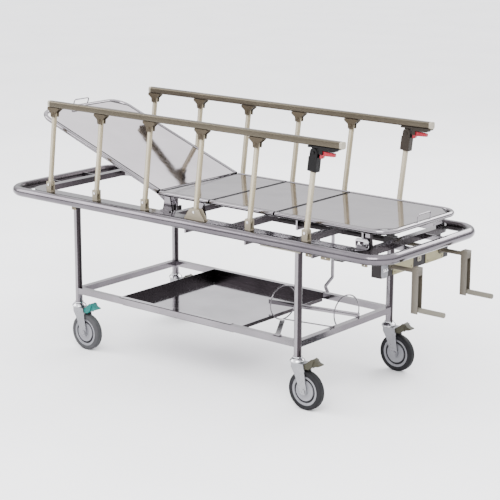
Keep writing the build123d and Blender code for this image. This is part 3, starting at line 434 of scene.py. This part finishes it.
def bolt(name, place, axes, radius=0.006, body="chassis"):
    """Hexagon head on a washer, standing along the third axis."""
    shape = bmesh.new()
    washer = (28, radius * 1.5, 0, WASHER)
    head = (6, radius, WASHER, WASHER + radius * 0.8)
    for sides, r, low, high in (washer, head):
        made = bmesh.ops.create_cone(
            shape, cap_ends=True, segments=sides, radius1=r, radius2=r * 0.93, depth=high - low
        )
        bmesh.ops.translate(shape, verts=made["verts"], vec=(0, 0, (low + high) / 2))
    mesh = bpy.data.meshes.new(name)
    shape.to_mesh(mesh)
    shape.free()
    return place_mesh(name, mesh, place, axes, "chrome", body)


def node_body(node):
    """The CAD body that carries a node."""
    for body, carried in frame["record"]["behaviour"]["bodies"].items():
        if node in carried:
            return body


FACE_FOOT = ((0, 1, 0), (0, 0, 1), (1, 0, 0))     # drawn in Y and Z, standing towards +X
FACE_NEAR = ((1, 0, 0), (0, 0, 1), (0, -1, 0))    # drawn in X and Z, standing towards -Y

# brake pedals: a humped tread between two cheeks, and the red latch levers
PEDAL_REACH = 0.139
TREAD = (
    (0.0402, 0.1655), (0.050, 0.164), (0.064, 0.166), (0.077, 0.178), (0.106, 0.184), (0.116, 0.188),
    (0.115, 0.192), (0.100, 0.196), (0.089, 0.206), (0.078, 0.208), (0.064, 0.199), (0.051, 0.184),
    (0.0445, 0.1765), (0.0402, 0.1765),
)
PIN = (0.036, 0.171)
PIN_BORE = 0.0034
LEVER_BORE = 0.0034
BOSS_R = 0.0060
CHEEK_Y = 0.0165                        # cheeks' middles, from the tread's middle
CHEEK = (
    (0.0402, 0.1655), (0.050, 0.164), (0.066, 0.165), (0.080, 0.177), (0.090, 0.205),
    (0.077, 0.209), (0.0402, 0.1765),
)
LEVER_PIN = (0, -0.008)
LEVER_BACK = 0.007                      # lever's end, behind its pin
LEVER_GAP = 0.0015                      # below the latch block
LEVER = (
    (-0.003, -0.0015), (0.006, -0.0015), (0.056, -0.0060), (0.058, -0.0100), (0.057, -0.0185),
    (0.008, -0.0205), (0.004, -0.0300), (0.001, -0.0315), (-0.007, -0.0310), (-0.007, -0.0060),
)
for side in SIDES:
    for end in ENDS:
        node = side + "_" + end + "_pedal"
        lo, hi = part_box(node)
        king_x = hi.x - PEDAL_REACH
        middle_y = (lo.y + hi.y) / 2
        middle = (king_x, middle_y, 0)
        finish = "teal" if node == "near_head_pedal" else "olive"
        body = node_body(node)
        look = (FACE_NEAR, finish, "pedal_grey", body)
        tread = plate(node + "_tread", TREAD, 0.029, middle, *look, soft=0.0018)
        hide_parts(node)
        bore = circle(*PIN, PIN_BORE)
        plate(node + "_boss", circle(*PIN, BOSS_R), 0.036, middle, *look, holes=[bore])
        for index, shift in enumerate((-CHEEK_Y, CHEEK_Y)):
            cheek_at = (king_x, middle_y + shift, 0)
            plate(node + "_cheek_" + str(index), CHEEK, 0.0045, cheek_at, *look, soft=0.001)
    node = side + "_latch_lever"
    lo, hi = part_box(node)
    pin = (lo.x + LEVER_BACK, (lo.y + hi.y) / 2, hi.z + LEVER_GAP)
    look = (FACE_NEAR, "red", "latch_red", node_body(node))
    bore = circle(*LEVER_PIN, LEVER_BORE)
    lever = plate(node + "_moulding", LEVER, 0.016, pin, *look, holes=[bore], soft=0.0015)
    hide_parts(node)


# painted shade: flat black rings round the deck's panels, darkening the seam between each panel and its
# frame
SEAM_SHADE_BODY = {"seat": "chassis", "thigh": "thigh_section", "leg": "leg_section", "backrest": "backrest"}
SAME_PLANE = 0.99


def shade_panel_seam(name, width=0.0045, thick=0.0007):
    """A flat black ring lying on a panel's top face, following its outline: painted shade along the
    seam with the frame.
    """
    source = nodes[name + "_panel"].data
    areas = sorted(source.polygons, key=lambda face: face.area, reverse=True)
    top = areas[0].normal if areas[0].normal.z > 0 else -areas[0].normal
    shape = bmesh.new()
    shape.from_mesh(source)
    others = [face for face in shape.faces if face.normal.dot(top) < SAME_PLANE]
    bmesh.ops.delete(shape, geom=others, context="FACES")
    bmesh.ops.dissolve_faces(shape, faces=shape.faces[:])
    ring = bmesh.ops.inset_region(
        shape, faces=shape.faces[:], thickness=width, use_even_offset=True, use_boundary=True
    )["faces"]
    inside = [face for face in shape.faces if face not in ring]
    bmesh.ops.delete(shape, geom=inside, context="FACES")
    sides = bmesh.ops.extrude_face_region(shape, geom=shape.faces[:])["geom"]
    raised = [part for part in sides if isinstance(part, bmesh.types.BMVert)]
    bmesh.ops.translate(shape, verts=raised, vec=top * thick)
    bmesh.ops.recalc_face_normals(shape, faces=shape.faces[:])
    mesh = bpy.data.meshes.new(name + "_seam_shade")
    shape.to_mesh(mesh)
    shape.free()
    axes = ((1, 0, 0), (0, 1, 0), (0, 0, 1))
    place_mesh(name + "_seam_shade", mesh, (0, 0, 0), axes, "black", SEAM_SHADE_BODY[name])


for name in SEAM_SHADE_BODY:
    shade_panel_seam(name)

# crank channel: two cream covers, a gap between them where the channel's dark paint is painted shade, a
# bracket in the gap, and a pale end bracket
COVER = 0.003                           # cover's thickness
COVER_TALL = 0.060
SCREW_INSET = 0.012
SCREW_HOLE = 0.0028
SHAFT_Z = 0.583
SHAFT_HOLE = 0.016
channel_lo, channel_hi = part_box("crank_channel")
shaft_y = (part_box("far_crank")[0].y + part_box("far_crank")[1].y) / 2
face_x = channel_hi.x + COVER / 2
low, high = channel_lo.z, channel_lo.z + COVER_TALL
cover_at = (face_x, 0, 0)
for name, low_y, high_y in (("near", -0.151, -0.019), ("far", 0.068, 0.190)):
    ends = (low_y + SCREW_INSET, high_y - SCREW_INSET)
    holes = [circle(y, low + SCREW_INSET, SCREW_HOLE) for y in ends]
    if name == "far":
        holes.append(circle(shaft_y, SHAFT_Z, SHAFT_HOLE))
    outline = rounded((low_y, low), (high_y, high), 0.005)
    look = (FACE_FOOT, "channel", "channel")
    plate("channel_cover_" + name, outline, COVER, cover_at, *look, holes=holes)
    outline = rounded((low_y + 0.004, high - 0.006), (high_y - 0.004, high - 0.001), 0.002)
    lip_at = (face_x + 0.0027, 0, 0)
    plate("channel_lip_" + name, outline, 0.0024, lip_at, FACE_FOOT, "cap", "beige_plastic")
outline = rounded((0.014, low + 0.020), (0.036, high - 0.020), 0.004)
hole = circle(0.025, low + 0.030, 0.004)
plate("channel_tab", outline, COVER, cover_at, FACE_FOOT, "cap", "beige_plastic", holes=[hole])
outline = rounded((-0.2255, low), (-0.188, high - 0.002), 0.014, 8)
plate("channel_end_bracket", outline, 0.005, (face_x + 0.001, 0, 0), FACE_FOOT, "hub", "zinc")
for name, y in (("a", -0.214), ("b", -0.199)):
    bolt("channel_bolt_" + name, (face_x + 0.0036, y, low + 0.030), FACE_FOOT, 0.0045)

# tabs and a thin bar under the bumper's near side
TAB_THICK = 0.004
TABS = (                                # low X, high X and drop
    ("a", 0.566, 0.594, 0.013),
    ("b", 0.636, 0.680, 0.013),
    ("c", 0.820, 0.846, 0.009),
    ("d", -0.664, -0.640, 0.014),
)
bumper_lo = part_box("bumper_rail")[0]
tab_at = (0, bumper_lo.y + 0.022, 0)
tab_top = bumper_lo.z + 0.001
for name, low_x, high_x, drop in TABS:
    outline = rounded((low_x, tab_top - drop), (high_x, tab_top), 0.0045)
    hole = circle((low_x + high_x) / 2, tab_top - drop / 2, 0.0025)
    look = (FACE_NEAR, "socket", "socket")
    plate("bumper_tab_" + name, outline, TAB_THICK, tab_at, *look, holes=[hole])
outline = rounded((0.350, tab_top - 0.007), (0.541, tab_top), 0.002)
plate("bumper_strip", outline, TAB_THICK, tab_at, FACE_NEAR, "cap", "beige_plastic")

# foot-end bracket with its bolt, on the near side of the main frame
BRACKET_Y = -0.262
outline = rounded((0.742, 0.655), (0.800, 0.694), 0.010)
plate(
    "foot_bracket", outline, 0.005, (0, BRACKET_Y, 0), FACE_NEAR, "sheet", "stainless",
    holes=[circle(0.757, 0.676, 0.0045)],
)
bolt("foot_bracket_bolt", (0.784, BRACKET_Y - 0.0025, 0.674), FACE_NEAR, 0.006)

# ------------------------------------------------------------------ camera
LENS = 112.2
AZIMUTH = math.radians(39.3)
ELEVATION = math.radians(14.09)
ROLL = math.radians(-0.26)
DISTANCE = 6.75867
TARGET = Vector((-0.20464, 0.28542, 0.38836))
back = Vector((
    math.sin(AZIMUTH) * math.cos(ELEVATION),
    -math.cos(AZIMUTH) * math.cos(ELEVATION),
    math.sin(ELEVATION),
))
right = Vector((math.cos(AZIMUTH), math.sin(AZIMUTH), 0))
up = back.cross(right)
cam_right = math.cos(ROLL) * right - math.sin(ROLL) * up
cam_up = math.sin(ROLL) * right + math.cos(ROLL) * up
camera = bpy.data.objects.new("camera", bpy.data.cameras.new("camera"))
bpy.context.scene.collection.objects.link(camera)
camera.data.lens = LENS
camera.data.sensor_width = 36.0
camera.data.clip_end = 100.0
turn = Matrix((cam_right, cam_up, back)).transposed().to_4x4()
camera.matrix_world = Matrix.Translation(TARGET + back * DISTANCE) @ turn
bpy.context.scene.camera = camera

# ------------------------------------------------------------------ floor and light
bm = bmesh.new()
bmesh.ops.create_grid(bm, x_segments=2, y_segments=2, size=30)
floor_mesh = bpy.data.meshes.new("floor")
bm.to_mesh(floor_mesh)
bm.free()
floor = bpy.data.objects.new("floor", floor_mesh)
bpy.context.scene.collection.objects.link(floor)
floor_mat, floor_tree, floor_shader = new_material("floor")
floor_tree.links.new(
    tint(floor_tree, noise(floor_tree, 1.5), (0.86, 0.86, 0.87), (0.90, 0.90, 0.91)),
    floor_shader.inputs["Base Color"],
)
floor_shader.inputs["Roughness"].default_value = 0.9
floor_mesh.materials.append(floor_mat)

# a plain sky, a little darker near the horizon
SKY = ((0.0, 0.30), (0.15, 0.22), (0.21, 0.42), (0.60, 1.0))    # sine of the height, brightness
SKY_STRENGTH = 3.2
world = bpy.data.worlds.new("studio")
world.use_nodes = True
sky_tree = world.node_tree
sky_coord = sky_tree.nodes.new("ShaderNodeTexCoord")
sky_height = sky_tree.nodes.new("ShaderNodeSeparateXYZ")
sky_ramp = sky_tree.nodes.new("ShaderNodeValToRGB")
while len(sky_ramp.color_ramp.elements) < len(SKY):
    sky_ramp.color_ramp.elements.new(1.0)
for element, (height, value) in zip(sky_ramp.color_ramp.elements, SKY):
    element.position = height
    element.color = (value, value, value * 1.02, 1)
sky_tree.links.new(sky_coord.outputs["Generated"], sky_height.inputs["Vector"])
sky_tree.links.new(sky_height.outputs["Z"], sky_ramp.inputs["Fac"])
sky_tree.links.new(sky_ramp.outputs["Color"], sky_tree.nodes["Background"].inputs["Color"])
sky_tree.nodes["Background"].inputs["Strength"].default_value = SKY_STRENGTH
bpy.context.scene.world = world


def area_light(name, place, aim, size, power):
    data = bpy.data.lights.new(name, "AREA")
    data.shape = "RECTANGLE"
    data.size = size[0]
    data.size_y = size[1]
    data.energy = power
    lamp = bpy.data.objects.new(name, data)
    bpy.context.scene.collection.objects.link(lamp)
    lamp.location = place
    lamp.rotation_euler = (Vector(aim) - Vector(place)).to_track_quat("-Z", "Y").to_euler()


area_light("key", (2.5, -4.0, 4.5), (0, 0, 0.6), (3.0, 3.0), 380)
area_light("fill", (-4.0, -2.5, 3.0), (0, 0, 0.6), (3.0, 3.0), 170)
area_light("rim", (0.5, 4.5, 3.5), (0, 0, 0.6), (4.0, 2.0), 220)
